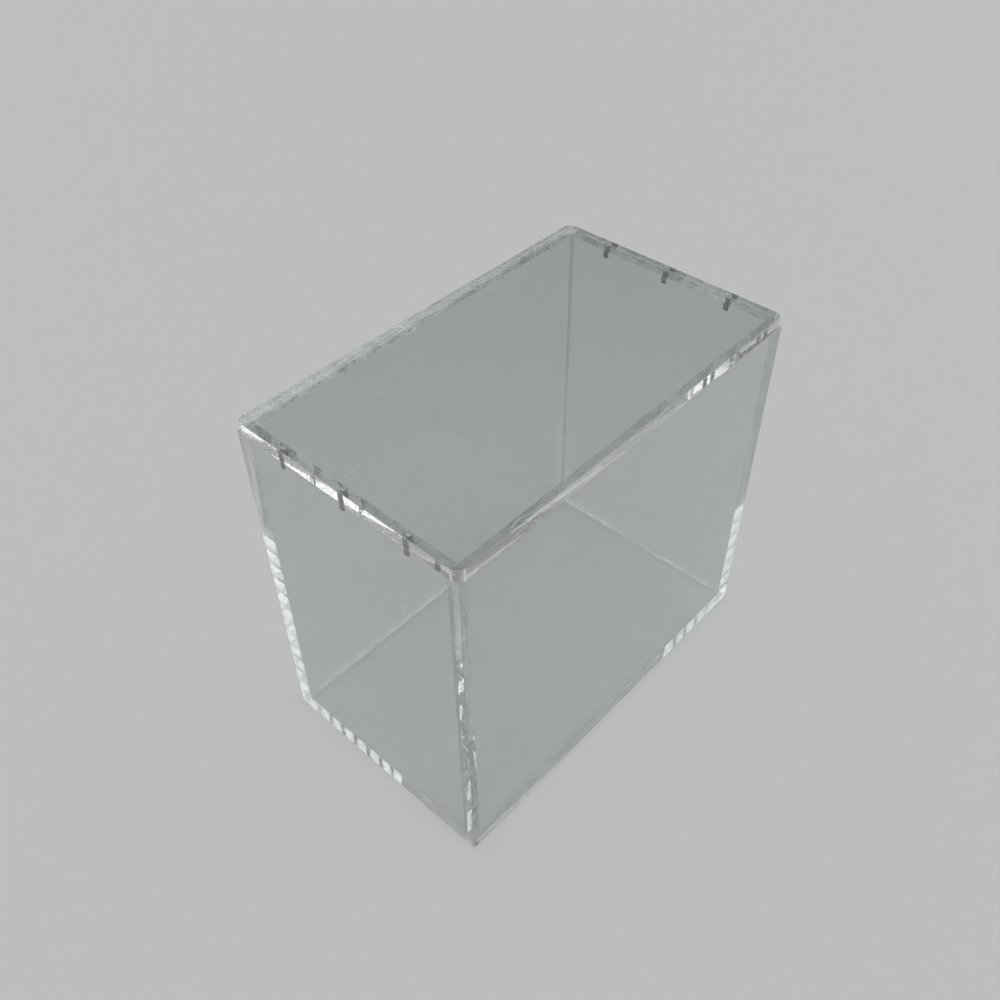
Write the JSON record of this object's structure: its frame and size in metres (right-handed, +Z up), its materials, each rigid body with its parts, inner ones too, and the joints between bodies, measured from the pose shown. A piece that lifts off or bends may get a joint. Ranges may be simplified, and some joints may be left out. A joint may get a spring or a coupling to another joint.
{
  "type": "card deck box",
  "caption": "Clear rectangular display case for a boxed deck of cards, made of flat polished sheets, with a flat lift-off lid held by small magnets.",
  "frame": {"origin": "middle of the underside of the base panel", "axes": "+X along the length, +Y across the depth from the front wall to the back wall, +Z up, the way the lid lifts"},
  "size_m": [0.146, 0.087, 0.1336],
  "materials": {
    "clear_acrylic": "clear cast acrylic sheet with polished edges",
    "dark_nickel": "dark nickel plating on a small rod magnet"
  },
  "bodies": {
    "case": {"base_panel": "clear_acrylic", "front_wall": "clear_acrylic", "back_wall": "clear_acrylic", "left_end_wall": "clear_acrylic", "right_end_wall": "clear_acrylic", "wall_magnet_left_front": "dark_nickel", "wall_magnet_left_middle": "dark_nickel", "wall_magnet_left_back": "dark_nickel", "wall_magnet_right_front": "dark_nickel", "wall_magnet_right_middle": "dark_nickel", "wall_magnet_right_back": "dark_nickel"},
    "lid": {"lid_panel": "clear_acrylic", "lid_magnet_left_front": "dark_nickel", "lid_magnet_left_middle": "dark_nickel", "lid_magnet_left_back": "dark_nickel", "lid_magnet_right_front": "dark_nickel", "lid_magnet_right_middle": "dark_nickel", "lid_magnet_right_back": "dark_nickel"}
  },
  "joints": [
    {"name": "lid_lift", "type": "slide", "parent": "case", "child": "lid", "axis": [0, 0, 1], "range_m": [0, 0.16]}
  ]
}
